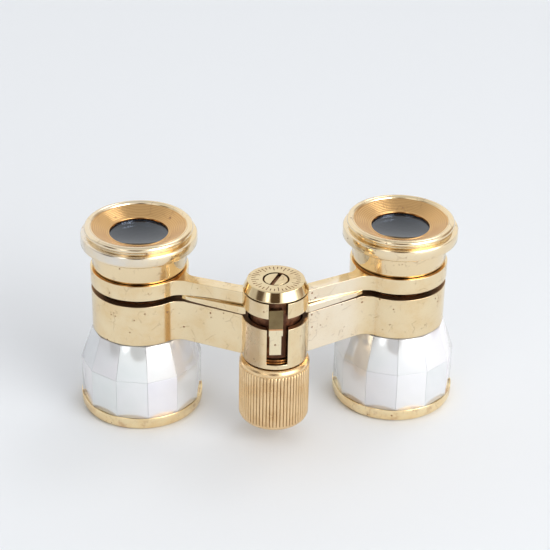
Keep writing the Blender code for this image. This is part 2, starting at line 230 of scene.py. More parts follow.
def plate_gold(gilt, where, colour, deep, rough, spots, brown_share=0.0):
    """Gold plate on brass: cloudy polish, dark pits, fine scratches, and a share of brown that callers use
    for wax and for painted shade.
    """
    cloud = gilt.noise(where, 160, detail=4, rough=0.6)
    fine = gilt.noise(where, 1500, detail=3, rough=0.6)
    dots = gilt.node("ShaderNodeTexVoronoi", {}, {"Vector": where, "Scale": 620, "Randomness": 1.0})
    spread = gilt.noise(where, 330, detail=2)
    patch = spread.between(0.68 - spots, 0.80 - spots)
    pit = (1 - dots.between(0.10, 0.24)) * patch
    bent = gilt.node("ShaderNodeVectorMath", {"operation": "MULTIPLY_ADD"},
                     {0: gilt.noise(where, 420, detail=3), 1: (0.003, 0.003, 0.003), 2: where})
    web = gilt.node("ShaderNodeTexVoronoi", {"feature": "DISTANCE_TO_EDGE"}, {"Vector": bent, "Scale": 210})
    scratch = (1 - web.between(0.01, 0.035)) * spread.between(0.50, 0.60)
    tone = gilt.mix(cloud.between(0.35, 0.75), colour, deep)
    # Pits and scratches are real marks; the brown share adds the caller's wax and painted shade.
    marks_and_shade = pit.maths("MAXIMUM", pit * 0.85 + scratch * 0.22, brown_share)
    gilt.set(
        Base_Color=gilt.mix(marks_and_shade, tone, TARNISH_AND_SHADE_BROWN),
        Roughness=rough + cloud * 0.10 + marks_and_shade * 0.3,
        Normal=gilt.bump(cloud * 0.6 + fine * 0.12 - pit * 0.8, 0.00001))


rim_gilt = Finish("rim_gilt", Metallic=1.0)
where = rim_gilt.place()
stain = rim_gilt.noise(where, 260, detail=5, rough=0.7).between(0.5, 0.66)
rubbed = rim_gilt.mix(stain * 0.75, (0.95, 0.79, 0.50), (0.56, 0.33, 0.19))
plate_gold(rim_gilt, where, rubbed, (0.88, 0.66, 0.36), 0.15, 0.16)
for side in SIDES:
    x, y, radius, foot, top = round_node("rim_" + side)
    bore = radius - 3.35 * MM
    ledge = bore - 0.6 * MM
    plates = radius - 0.14 * MM
    section = [
        (plates, top), (plates, top + LIP), (radius - 0.04 * MM, top + LIP),
        (radius, top + LIP - 0.06 * MM), (radius, foot + 1.9 * MM), (radius - 0.12 * MM, foot + 1.1 * MM),
        (radius - 0.35 * MM, foot + 0.6 * MM), (radius - 0.7 * MM, foot + 0.2 * MM),
        (radius - 1.1 * MM, foot), (radius - 2.6 * MM, foot), (ledge, foot + 0.4 * MM),
        (ledge, foot + 1.0 * MM), (bore, foot + 1.0 * MM), (bore, top)]
    make_piece("objective_rim_" + side, spun(section, x, y), rim_gilt, "objective_body",
               "polished_gilt", "rim_" + side)


# Objective lenses and their retaining rings.
# Clear crown glass, dropped in from behind and locked by a blackened threaded ring.
glass = Finish("objective_glass", Base_Color=(0.93, 0.97, 1.0), Roughness=0.02, IOR=1.52,
               Transmission_Weight=1.0)
black = Finish("black_lacquer", Metallic=0.0)
where = black.place()
dust = black.noise(where, 900, detail=4)
black.set(
    Base_Color=black.mix(dust.between(0.4, 0.8), (0.010, 0.010, 0.012), (0.035, 0.032, 0.03)),
    Roughness=0.55 + dust * 0.3)
for side in SIDES:
    dress("objective_lens_" + side, glass)
    dress("objective_retainer_" + side, black)


# Mother-of-pearl plates.
# Two rows of twelve flat plates clad each barrel, the lower upright and the upper leaning in. Each is
# cut from another bit of shell, mitred and cemented, so its tone and the lie of its layers differ.
PLATES = 12                    # in a row
PLATE_TURN = math.radians(4.5)  # of the first seam away from the front
PLATE_THICKNESS = 1.1 * MM
PLATE_EDGE = 0.035 * MM        # rounding of a plate's edges
ROW_OVERLAP = 0.05 * MM        # of the two rows, at the crease
SUNK_FOOT = 0.25 * MM          # of the lower row, behind the rim's lip
SEAM = 0.025 * MM              # half the cement line between two plates
ROW_TOP_RADIUS = 12.2 * MM     # to a corner of the upper row's top
shell_cuts = random.Random(11)


def plate_row(x, y, low, high, low_radius, high_radius, turn):
    """Twelve separate closed plates round one axis, each with its own tone and tint."""
    mesh = bmesh.new()
    tone = mesh.faces.layers.float.new("tone")
    layers = mesh.faces.layers.float.new("layers")
    step = 2 * math.pi / PLATES
    for index in range(PLATES):
        known = set(mesh.faces)
        first = turn + index * step
        lean = shell_cuts.uniform(-0.03, 0.03) * MM
        corners = []
        for radius, z in ((low_radius - lean, low + SEAM), (high_radius + lean, high - SEAM)):
            for angle in (first + SEAM / radius, first + step - SEAM / radius):
                corners.append((x + radius * math.cos(angle), y + radius * math.sin(angle), z))
        front = mesh.faces.new([mesh.verts.new(corners[number]) for number in (0, 1, 3, 2)])
        grown = bmesh.ops.extrude_face_region(mesh, geom=[front])
        for item in grown["geom"]:
            if isinstance(item, bmesh.types.BMVert):
                outward = Vector((item.co.x - x, item.co.y - y, 0)).normalized()
                item.co -= outward * PLATE_THICKNESS
        bmesh.ops.bevel(mesh, geom=list(front.edges), offset=PLATE_EDGE, segments=2, profile=0.5,
                        affect="EDGES", clamp_overlap=True, material=-1)
        shade = shell_cuts.random()
        grain = shell_cuts.random()
        for face in set(mesh.faces) - known:
            face[tone] = shade
            face[layers] = grain
    bmesh.ops.recalc_face_normals(mesh, faces=mesh.faces)
    return mesh


pearl = Finish("mother_of_pearl", IOR=1.56, Coat_Weight=0.6, Coat_Roughness=0.04)
where = pearl.place()
shade = pearl.node("ShaderNodeAttribute", {"attribute_name": "tone"}, output="Fac")
grain = pearl.node("ShaderNodeAttribute", {"attribute_name": "layers"}, output="Fac")
apart = pearl.node("ShaderNodeCombineXYZ", {}, {0: grain * 0.31, 1: grain * 0.17, 2: grain * 0.53})
own_place = pearl.node("ShaderNodeVectorMath", {"operation": "ADD"}, {0: where, 1: apart})
clouds = pearl.noise(own_place, 60, detail=2, rough=0.4, distortion=0.8)
bands = pearl.node("ShaderNodeTexWave", {"bands_direction": "DIAGONAL"},
                   {"Vector": own_place, "Scale": 95, "Distortion": 7, "Detail": 2, "Detail Scale": 1.4},
                   output="Fac")
tint = pearl.node("ShaderNodeValToRGB", {"stops": [
    (0.0, (0.79, 0.79, 0.84)), (0.35, (0.84, 0.84, 0.85)), (0.5, (0.80, 0.83, 0.82)),
    (0.68, (0.87, 0.85, 0.85)), (0.85, (0.83, 0.82, 0.88)), (1.0, (0.89, 0.90, 0.90))]},
    {0: clouds * 0.45 + grain * 0.55})
dim = pearl.mix(shade, (0.84, 0.84, 0.86), (1.0, 1.0, 1.0))
colour = pearl.node("ShaderNodeMix", {"data_type": "RGBA", "blend_type": "MULTIPLY"},
                    {0: 1.0, 6: tint, 7: dim}, output=2)
pearl.set(
    Base_Color=pearl.mix(bands * 0.06, colour, (0.93, 0.93, 0.92)),
    Metallic=0.3 + clouds * 0.15,
    Roughness=0.09 + bands * 0.03 + clouds * 0.05,
    Normal=pearl.bump(bands * 0.4 + clouds, 0.00001, 0.4))

for side, lean_way in (("left", 1), ("right", -1)):
    turn = lean_way * PLATE_TURN - math.pi / 2
    x, y, half_width, foot, crease = round_node("pearl_lower_" + side)
    corner_radius = half_width / math.cos(PLATE_TURN)
    make_piece("pearl_plates_lower_" + side,
               plate_row(x, y, foot - SUNK_FOOT, crease + ROW_OVERLAP, corner_radius, corner_radius, turn),
               pearl, "objective_body", "mother_of_pearl", "pearl_lower_" + side)
    x, y, half_width, crease, top = round_node("pearl_upper_" + side)
    make_piece("pearl_plates_upper_" + side,
               plate_row(x, y, crease - ROW_OVERLAP, top, corner_radius, ROW_TOP_RADIUS, turn),
               pearl, "objective_body", "mother_of_pearl", "pearl_upper_" + side)


# Lower bridge.
# One gilt brass casting: two rings that grip the barrels, two flat arms and the slotted hub, machined
# flush top and bottom, with broken corners and a fillet where an arm meets a ring.
ARM_FRONT = 3.5 * MM           # arm faces, from the line between a ring's and the hub's centre
ARM_REAR = -0.3 * MM
RING_FILLET = 4.2 * MM
LOWER_SLOT = 4.9 * MM          # widths of the key's two slots
UPPER_SLOT = 4.5 * MM
SLOT_RELIEF = 0.15 * MM        # the lower slot is this much wider on the left
LOWER_CORNERS = 0.14 * MM      # rounding of a bridge's edges
UPPER_CORNERS = 0.09 * MM

barrel_x, barrel_y = round_node("barrel_right")[:2]
hub_x, hub_y, knob_radius, knob_foot, knob_top = round_node("focus_knob")
hub_radius = round_node("hub_cap")[2]
ring_centre = Vector((barrel_x, barrel_y))
hub_centre = Vector((0, hub_y))
arm_along = (hub_centre - ring_centre).normalized()
arm_side = Vector((-arm_along.y, arm_along.x))


def arc(centre, radius, start, end, steps):
    """Points on the shorter arc between the directions of two points."""
    first = math.atan2(start.y - centre.y, start.x - centre.x)
    sweep = math.atan2(end.y - centre.y, end.x - centre.x) - first
    sweep = (sweep + math.pi) % (2 * math.pi) - math.pi
    turns = [first + sweep * index / steps for index in range(steps + 1)]
    return [centre + Vector((math.cos(turn), math.sin(turn))) * radius for turn in turns]


def fillet(centre, radius, along, side, offset, blend):
    """Concave arc from a round to an arm face that runs at an offset from its centre."""
    reach = math.sqrt((radius + blend) ** 2 - (offset + blend) ** 2)
    middle = centre + along * reach + side * (offset + blend)
    on_round = centre + (middle - centre) * (radius / (radius + blend))
    return arc(middle, blend, on_round, centre + along * reach + side * offset, 10)


def circle(centre, radius, steps):
    """Points all round a centre, for a hole or a round boss."""
    turns = [2 * math.pi * index / steps for index in range(steps)]
    return [centre + Vector((math.cos(turn), math.sin(turn))) * radius for turn in turns]


def bridge_outline(ring_radius, hub_round, front, rear):
    """Plan of a bridge: hub, arms and rings in one closed line, the left half mirrored."""
    ring_front = fillet(ring_centre, ring_radius, arm_along, arm_side, front, RING_FILLET)
    ring_rear = fillet(ring_centre, ring_radius, arm_along, -arm_side, rear, RING_FILLET * 0.7)
    hub_front = fillet(hub_centre, hub_round, -arm_along, arm_side, front, 1.0 * MM)
    hub_rear = fillet(hub_centre, hub_round, -arm_along, -arm_side, rear, 3.0 * MM)
    outer = ring_centre - arm_along * ring_radius
    hub_foot = hub_centre - Vector((0, hub_round))
    hub_back = hub_centre + Vector((0, hub_round))
    right = arc(hub_centre, hub_round, hub_foot, hub_front[0], 16)[:-1] + hub_front
    right += ring_front[::-1][:-1] + arc(ring_centre, ring_radius, ring_front[0], outer, 44)[:-1]
    right += arc(ring_centre, ring_radius, outer, ring_rear[0], 44)[:-1] + ring_rear
    right += hub_rear[::-1][:-1] + arc(hub_centre, hub_round, hub_rear[0], hub_back, 14)
    return right + [Vector((-point.x, point.y)) for point in right[-2:0:-1]]


def slab(outlines, low, high):
    """An upright solid on flat outlines, the first its outside and the others holes."""
    mesh = bmesh.new()
    edges = []
    for outline in outlines:
        loop = [mesh.verts.new((point.x, point.y, low)) for point in outline]
        edges += [mesh.edges.new((loop[index - 1], loop[index])) for index in range(len(loop))]
    filled = bmesh.ops.triangle_fill(mesh, use_beauty=True, edges=edges)
    faces = [item for item in filled["geom"] if isinstance(item, bmesh.types.BMFace)]
    grown = bmesh.ops.extrude_face_region(mesh, geom=faces)
    raised = [item for item in grown["geom"] if isinstance(item, bmesh.types.BMVert)]
    bmesh.ops.translate(mesh, verts=raised, vec=(0, 0, high - low))
    bmesh.ops.recalc_face_normals(mesh, faces=mesh.faces)
    return mesh


def block(low, high):
    """A box between two corners, for a cutting tool."""
    mesh = bmesh.new()
    bmesh.ops.create_cube(mesh, size=1.0)
    size = Vector(high) - Vector(low)
    bmesh.ops.scale(mesh, verts=mesh.verts, vec=size)
    bmesh.ops.translate(mesh, verts=mesh.verts, vec=(Vector(high) + Vector(low)) / 2)
    return mesh


def combined(mesh, tools):
    """Cut or join whole solids with a Boolean, and return the result as a bmesh."""
    target = as_object("work_piece", mesh)
    helpers = []
    for operation, tool in tools:
        helper = as_object("work_tool", tool)
        modifier = target.modifiers.new("Join", "BOOLEAN")
        modifier.operation = operation
        modifier.object = helper
        helpers.append(helper)
    graph = bpy.context.evaluated_depsgraph_get()
    result = bmesh.new()
    result.from_mesh(target.evaluated_get(graph).to_mesh())
    for helper in helpers + [target]:
        bpy.data.objects.remove(helper, do_unlink=True)
    bmesh.ops.dissolve_limit(result, angle_limit=math.radians(0.5), verts=result.verts, edges=result.edges)
    clean(result, 0.03 * MM)
    return result


def as_object(name, mesh):
    """Put a bmesh in the scene as it is, as a tool or a backdrop."""
    data = bpy.data.meshes.new(name)
    mesh.to_mesh(data)
    mesh.free()
    made = bpy.data.objects.new(name, data)
    bpy.context.scene.collection.objects.link(made)
    return made


def weigh_normals(piece):
    """Keep big flat faces flat beside their rounded edges."""
    weighted = piece.modifiers.new("Normals", "WEIGHTED_NORMAL")
    weighted.keep_sharp = True


bridge_gilt = Finish("bridge_gilt", Metallic=1.0)
where = bridge_gilt.place()
height = bridge_gilt.part(where, 2)
# Painted shade: faces in the gap between the two bridges are painted tarnish brown.
gap_shade = height.between(33.2 * MM, 33.28 * MM) * (1 - height.between(34.08 * MM, 34.16 * MM))
# The hub's left flank is painted darker, as a painted dark reflection, and the fronts of the right arms are
# painted pale, as a painted highlight.
at_hub = 1 - bridge_gilt.reach(where, hub_x, hub_y).between(hub_radius, hub_radius + 0.5 * MM)
across = bridge_gilt.part(where, 0)
flank_shade = at_hub * across.between(-7.6 * MM, -6.9 * MM) * (1 - across.between(-4.6 * MM, -3.0 * MM))
flank_shade = flank_shade * (1 - height.between(33 * MM, 35 * MM) * 0.6)
ahead = (across - barrel_x) * arm_side.x + (bridge_gilt.part(where, 1) - barrel_y) * arm_side.y
# Painted highlight: the fronts of the right arms are mixed towards a pale, nearly white gold.
painted_highlight = (1 - at_hub) * across.between(6 * MM, 8 * MM) * (1 - across.between(18 * MM, 24 * MM))
painted_highlight = painted_highlight * ahead.between(ARM_FRONT - 2.5 * MM, ARM_FRONT - 0.5 * MM) * 0.65
plate_gold(bridge_gilt, where, bridge_gilt.mix(painted_highlight, (0.87, 0.715, 0.465), (0.97, 0.87, 0.72)),
           bridge_gilt.mix(painted_highlight, (0.81, 0.61, 0.345), (0.93, 0.81, 0.64)), 0.10, 0.15,
           gap_shade.maths("MAXIMUM", gap_shade * 0.8, flank_shade * 0.42))
low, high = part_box("lower_bridge")
ring_radius = high[0] - barrel_x
hub_bore = round_node("carriage_tube")[2] + 0.3 * MM
neck_bore = 10.2 * MM
slot_floor = low[2] + 1.2 * MM
holes = [circle(Vector((side * barrel_x, barrel_y)), neck_bore, 96) for side in (-1, 1)]
holes.append(circle(hub_centre, hub_bore, 64))
body = slab([bridge_outline(ring_radius, hub_radius, ARM_FRONT, ARM_REAR)] + holes, low[2], high[2])
slot = block((-LOWER_SLOT / 2 - SLOT_RELIEF, hub_y - hub_radius - MM, slot_floor),
             (LOWER_SLOT / 2, hub_y, high[2] + MM))
body = combined(body, [("DIFFERENCE", slot)])
soften(body, LOWER_CORNERS, clamp=False)
weigh_normals(make_piece("still_bridge", body, bridge_gilt, "objective_body", "polished_gilt",
                         "lower_bridge"))


# Focusing spindle, its bush, collar and end screw.
# A turned steel screw runs in a brass bush pressed into the lower hub. A collar above the bush and
# the knob below it hold it in place, and a brass screw locks the knob to its lower end.
steel = Finish("spindle_steel", Metallic=1.0)
where = steel.place()
rings = steel.noise(where, 300, detail=3)
steel.set(
    Base_Color=steel.mix(rings.between(0.3, 0.7), (0.30, 0.29, 0.28), (0.56, 0.55, 0.53)),
    Roughness=0.22 + rings * 0.2)
dress("focus_spindle", steel)
dress("thrust_collar", steel)
dress("hub_bush", old_brass)

x, y, radius, foot, top = round_node("knob_end_screw")
shank = 1.6 * MM
chamfer = 0.35 * MM
head_top = foot + 1.1 * MM
end_screw = spun([(0, top), (shank, top), (shank, head_top), (radius, head_top),
                  (radius, foot + chamfer), (radius - chamfer, foot), (0, foot)],
                 x, y, steps=64, closed=False)
slot = block((x - radius, y - 0.35 * MM, foot - MM), (x + radius, y + 0.35 * MM, foot + 0.6 * MM))
end_screw = combined(end_screw, [("DIFFERENCE", slot)])
soften(end_screw, 0.06 * MM)
make_piece("end_screw", end_screw, bridge_gilt, "focus_drive", "polished_gilt", "knob_end_screw")


# Focusing knob.
# Turned from gilt brass, with a smooth bevelled collar at the top and a straight knurl of rounded
# ridges below it, worn smooth on their crests. The knurl stops at a bevel at the foot.
RIDGES = 62
RIDGE_STEPS = 8
RIDGE_DEPTH = 0.27 * MM
collar = 1.75 * MM
foot_bevel = 1.15 * MM
knurl_top = knob_top - collar
knurl_foot = knob_foot + foot_bevel
counterbore = 3.4 * MM
spindle_bore = round_node("focus_spindle")[2] + 0.3 * MM
section = [
    (knob_radius - 0.95 * MM, knob_top), (knob_radius - 0.7 * MM, knob_top - 0.08 * MM),
    (knob_radius - 0.35 * MM, knob_top - 0.4 * MM), (knob_radius - 0.08 * MM, knob_top - 0.9 * MM),
    (knob_radius - 0.02 * MM, knob_top - 1.3 * MM), (knob_radius - 0.10 * MM, knurl_top + 0.18 * MM),
    (knob_radius - 0.16 * MM, knurl_top + 0.02 * MM), (knob_radius, knurl_top - 0.1 * MM)]
section += [(knob_radius, knurl_top + (knurl_foot - knurl_top) * share / 8) for share in range(1, 8)]
section += [
    (knob_radius, knurl_foot + 0.1 * MM), (knob_radius - 0.12 * MM, knurl_foot - 0.05 * MM),
    (knob_radius - 0.35 * MM, knob_foot + 0.55 * MM), (knob_radius - 0.75 * MM, knob_foot + 0.12 * MM),
    (knob_radius - 1.05 * MM, knob_foot), (counterbore + 0.2 * MM, knob_foot),
    (counterbore, knob_foot + 0.2 * MM), (counterbore, knob_foot + 1.6 * MM),
    (spindle_bore, knob_foot + 1.6 * MM), (spindle_bore, knob_top)]
knob = spun(section, hub_x, hub_y, steps=RIDGES * RIDGE_STEPS)
for vert in knob.verts:
    spoke = Vector((vert.co.x - hub_x, vert.co.y - hub_y, 0))
    on_knurl = knurl_foot < vert.co.z < knurl_top and spoke.length > knob_radius - 0.01 * MM
    if on_knurl:
        ridge = abs(math.cos(math.atan2(spoke.y, spoke.x) * RIDGES / 2))
        vert.co -= spoke.normalized() * RIDGE_DEPTH * (1 - ridge ** 0.7)
knob_gilt = Finish("knob_gilt", Metallic=1.0)
where = knob_gilt.place()
wear = knob_gilt.noise(where, 210, detail=4, rough=0.6)
mottle = knob_gilt.noise(where, 900, detail=3, rough=0.7)
reach = knob_gilt.reach(where, hub_x, hub_y)
height = knob_gilt.part(where, 2)
knurled = height.between(knurl_foot - 0.1 * MM, knurl_foot + 0.1 * MM)
knurled = knurled * (1 - height.between(knurl_top - 0.1 * MM, knurl_top + 0.1 * MM))
# Painted shade: the knurl's valleys are painted dark brown, by a share that a noise varies.
valley_shade = knurled * (1 - reach.between(knob_radius - RIDGE_DEPTH, knob_radius - RIDGE_DEPTH * 0.2))
crest = knob_gilt.mix(wear.between(0.35, 0.7), (0.92, 0.68, 0.39), (0.79, 0.54, 0.28))
knob_gilt.set(
    Base_Color=knob_gilt.mix(valley_shade * (0.5 + mottle * 0.6), crest, (0.20, 0.09, 0.04)),
    Roughness=0.20 + wear * 0.12 + valley_shade * 0.15,
    Normal=knob_gilt.bump(mottle * 0.3 + wear, 0.00001))
make_piece("knurled_knob", knob, knob_gilt, "focus_drive", "knurled_gilt", "focus_knob", sharp=50)


# Draw tubes and their felt sleeves.
# Each eyepiece sits on a thin brass tube that slides inside the barrel's neck on a sleeve of felt.
# The tubes are painted a near-black brown, as painted shade for the gaps between the bridges where they
# show.
dark_brass = Finish("dark_brass", Metallic=1.0)
where = dark_brass.place()
patina = dark_brass.noise(where, 350, detail=4, rough=0.6)
dark_brass.set(
    Base_Color=dark_brass.mix(patina.between(0.4, 0.75), (0.09, 0.04, 0.025), (0.32, 0.15, 0.08)),
    Roughness=0.30 + patina * 0.2)
felt = Finish("felt", Sheen_Weight=0.3)
where = felt.place()
fibres = felt.noise(where, 2200, detail=4, rough=0.7)
felt.set(
    Base_Color=felt.mix(fibres, (0.012, 0.010, 0.009), (0.05, 0.045, 0.04)),
    Roughness=0.9 + fibres * 0.08,
    Normal=felt.bump(fibres, 0.0001))
for side in SIDES:
    dress("eyepiece_tube_" + side, dark_brass)
    dress("draw_tube_seal_" + side, felt)


# Upper bridge.
# The sliding casting: two thin rings below the eyecups, slim arms that rise a little towards the
# hub, a ledge under the front of each arm, and the hub's band, slotted for the guide key.
ARM_RISE = 0.45 * MM           # of an arm's top, from the ring to the hub
FOOT_RISE = 0.95 * MM          # of its foot
BAND_HEIGHT = 4.0 * MM
NECK_OF_HUB = 7.2 * MM
QUIRK = 0.18 * MM              # sunk line between an arm and its ledge


def raise_verts(mesh, middle, top_rise, foot_rise):
    """Slope the top and the foot of an arm up towards the hub, by different amounts."""
    for vert in mesh.verts:
        away = (Vector((abs(vert.co.x), vert.co.y)) - ring_centre).dot(arm_along)
        share = min(max((away - upper_radius) / (14 * MM), 0), 1)
        rise = top_rise if vert.co.z > middle else foot_rise
        vert.co.z += rise * share * share * (3 - 2 * share)


low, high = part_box("upper_bridge")
arm_foot = low[2] + 0.95 * MM
arm_top = arm_foot + 4.0 * MM
upper_radius = high[0] - barrel_x
tube_bore = 8.6 * MM
outline = bridge_outline(upper_radius, NECK_OF_HUB, ARM_FRONT, ARM_REAR)
holes = [circle(Vector((side * barrel_x, barrel_y)), tube_bore, 96) for side in (-1, 1)]
arms = slab([outline] + holes, arm_foot, arm_top)
raise_verts(arms, arm_top - MM, ARM_RISE, FOOT_RISE + QUIRK)
tools = [("UNION", slab([circle(hub_centre, hub_radius, 128)], high[2] - BAND_HEIGHT, high[2]))]
for way in (1, -1):
    ledge = [
        ring_centre + arm_along * 11.8 * MM + arm_side * (ARM_FRONT - 0.9 * MM),
        ring_centre + arm_along * 13.2 * MM + arm_side * (ARM_FRONT + 0.1 * MM),
        ring_centre + arm_along * 15.8 * MM + arm_side * (ARM_FRONT + 0.5 * MM),
        ring_centre + arm_along * 20.0 * MM + arm_side * (ARM_FRONT + 0.72 * MM),
        hub_centre - arm_along * 6.9 * MM + arm_side * (ARM_FRONT + 1.0 * MM),
        hub_centre - arm_along * 5.9 * MM + arm_side * (ARM_FRONT + 0.6 * MM),
        hub_centre - arm_along * 6.6 * MM,
        ring_centre + arm_along * 12.4 * MM + arm_side * MM]
    web = [
        ring_centre + arm_along * 12.6 * MM + arm_side * (ARM_FRONT - 1.4 * MM),
        hub_centre - arm_along * 6.4 * MM + arm_side * (ARM_FRONT - 1.4 * MM),
        hub_centre - arm_along * 6.6 * MM,
        ring_centre + arm_along * 12.6 * MM + arm_side * MM]
    for plan, top, rise in ((ledge, arm_foot, FOOT_RISE), (web, arm_foot + 1.6 * MM, 0)):
        step = slab([[Vector((point.x * way, point.y)) for point in plan]], low[2] + 0.02 * MM, top)
        raise_verts(step, arm_foot - 0.1 * MM, rise, 0)
        tools.append(("UNION", step))
tools.append(("DIFFERENCE", slab([circle(hub_centre, hub_bore, 64)], low[2] - MM, high[2] + MM)))
tools.append(("DIFFERENCE", block((-UPPER_SLOT / 2, hub_y - hub_radius - MM, low[2] - MM),
                                  (UPPER_SLOT / 2, hub_y, high[2] + MM))))
body = combined(arms, tools)
soften(body, UPPER_CORNERS, clamp=False)
weigh_normals(make_piece("sliding_bridge", body, bridge_gilt, "carriage", "polished_gilt", "upper_bridge"))


# Carriage tube and guide key.
# The tube, painted near-black brown as shade, holds the nut thread and slides in the lower hub. A flat gilt
# key screwed to its front runs in both slots. It is wider above the mouth of the lower slot. Above that
# mouth it is painted dark olive brown as painted shade, where it stands in the gap between the hubs and in
# the upper slot; lower down, below 33 mm, it turns a darker copper.
dress("carriage_tube", dark_brass)
low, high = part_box("guide_key")
key_shoulder = low[2] + 5.2 * MM
key_left = low[0] - 0.2 * MM
key_right = high[0] - 0.2 * MM
stem_left = key_left + 0.2 * MM
stem_right = key_right - 0.34 * MM
outline = [
    (stem_left, low[2]), (stem_right, low[2]), (stem_right, key_shoulder), (key_right, key_shoulder),
    (key_right, high[2]), (key_left, high[2]), (key_left, key_shoulder), (stem_left, key_shoulder)]
key = bmesh.new()
front = key.faces.new([key.verts.new((x, low[1], z)) for x, z in outline])
grown = bmesh.ops.extrude_face_region(key, geom=[front])
back = [item for item in grown["geom"] if isinstance(item, bmesh.types.BMVert)]
bmesh.ops.translate(key, verts=back, vec=(0, high[1] - low[1], 0))
bmesh.ops.recalc_face_normals(key, faces=key.faces)
soften(key, 0.1 * MM)
key_gilt = Finish("key_gilt", Metallic=1.0)
where = key_gilt.place()
height = key_gilt.part(where, 2)
# Painted shade: above 33.3 mm the key is painted dark olive brown.
upper = height.between(33.3 * MM, 33.4 * MM)
shiny = key_gilt.mix(height.between(32.9 * MM, 33.1 * MM), (0.88, 0.76, 0.52), (0.72, 0.36, 0.17))
key_with_shade = key_gilt.mix(upper, shiny, (0.24, 0.175, 0.085))
plate_gold(key_gilt, where, key_with_shade, key_gilt.mix(upper, shiny, (0.12, 0.08, 0.04)), 0.14, 0.1)
weigh_normals(make_piece("key_bar", key, key_gilt, "carriage", "polished_gilt", "guide_key"))


# Hub cap and its screw.
# A bevelled gilt cap clamps the upper bridge to the carriage tube, with one slotted screw in a counterbore
# painted dark as shade. The flat is engraved with a plain ring of tick marks, filled with dark wax.
TICKS = 36                     # every third is long
TICK_STEPS = 4                 # turning steps from one tick to the next
TICK_DEPTH = 0.12 * MM
TICK_START = 4.9 * MM          # radii where a short and a long tick start, and where both end
LONG_TICK_START = 4.1 * MM
TICK_END = 5.9 * MM
x, y, radius, foot, top = round_node("cap_screw")
screw_radius = radius - 0.08 * MM
cap_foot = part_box("hub_cap")[0][2]
cap_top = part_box("hub_cap")[1][2]
face_radius = 6.8 * MM
well = radius + 0.3 * MM
section = [
    (face_radius - 0.1 * MM, cap_top), (face_radius + 0.08 * MM, cap_top - 0.08 * MM),
    (hub_radius - 0.06 * MM, cap_foot + 0.42 * MM), (hub_radius, cap_foot + 0.26 * MM),
    (hub_radius - 0.08 * MM, cap_foot + 0.08 * MM), (hub_radius - 0.25 * MM, cap_foot),
    (spindle_bore, cap_foot), (spindle_bore, cap_top - 1.3 * MM), (well, cap_top - 1.3 * MM),
    (well, cap_top - 0.06 * MM), (well + 0.08 * MM, cap_top), (LONG_TICK_START, cap_top),
    (TICK_START, cap_top), (TICK_END, cap_top)]
cap = spun(section, hub_x, hub_y, steps=TICKS * TICK_STEPS)
wax = cap.faces.layers.float.new("wax")
engraved = []
for face in cap.faces:
    middle = face.calc_center_median() - Vector((hub_x, hub_y, 0))
    turn = math.atan2(middle.y, middle.x) / (2 * math.pi) * TICKS
    at_tick = abs(turn - math.floor(turn) - 0.5 / TICK_STEPS) < 0.1
    inner = LONG_TICK_START if math.floor(turn) % 3 == 0 else TICK_START
    on_flat = abs(middle.z - cap_top) < ONE_POINT
    if at_tick and on_flat and inner < middle.xy.length < TICK_END:
        engraved.append(face)
borders = {edge for face in engraved for edge in face.edges}
corners = {vert for face in engraved for vert in face.verts}
grown = bmesh.ops.extrude_face_region(cap, geom=engraved + list(borders) + list(corners))
sunk = [item for item in grown["geom"] if isinstance(item, bmesh.types.BMFace)]
for face in sunk:
    face[wax] = 1.0
cap_gilt = Finish("cap_gilt")
where = cap_gilt.place()
filled = cap_gilt.node("ShaderNodeAttribute", {"attribute_name": "wax"}, output="Fac")
# Painted shade: the screw's counterbore is painted dark brown below the flat.
in_well = 1 - cap_gilt.reach(where, hub_x, hub_y).between(well, well + 0.1 * MM)
well_shade = in_well * (1 - cap_gilt.part(where, 2).between(cap_top - 0.3 * MM, cap_top - 0.12 * MM))
marks_and_shade = filled.maths("MAXIMUM", filled * 0.97, well_shade * 0.9)
plate_gold(cap_gilt, where, (0.80, 0.65, 0.40), (0.73, 0.55, 0.31), 0.035, 0.14, marks_and_shade)
cap_gilt.set(Metallic=1 - filled * 0.8)
bmesh.ops.translate(cap, verts=list({vert for face in sunk for vert in face.verts}),
                    vec=(0, 0, -TICK_DEPTH))
make_piece("bevelled_cap", cap, cap_gilt, "carriage", "polished_gilt", "hub_cap", sharp=25)

SCREW_SLOT = 0.5 * MM          # half the width of the driver slot
SCREW_TURN = math.radians(64)
shank = 1.9 * MM
chamfer = 0.12 * MM
head_foot = top - 0.95 * MM
screw = spun([(0, top), (screw_radius - chamfer, top), (screw_radius, top - chamfer),
              (screw_radius, head_foot), (shank, head_foot), (shank, foot),
              (0, foot)], x, y, steps=96, closed=False)
slot = block((-screw_radius - MM, -SCREW_SLOT, top - 0.7 * MM),
             (screw_radius + MM, SCREW_SLOT, top + MM))
bmesh.ops.rotate(slot, verts=slot.verts, cent=(0, 0, 0), matrix=Matrix.Rotation(SCREW_TURN, 3, "Z"))
bmesh.ops.translate(slot, verts=slot.verts, vec=(x, y, 0))
screw = combined(screw, [("DIFFERENCE", slot)])
soften(screw, 0.05 * MM)
make_piece("cap_lock_screw", screw, cap_gilt, "carriage", "polished_gilt", "cap_screw")


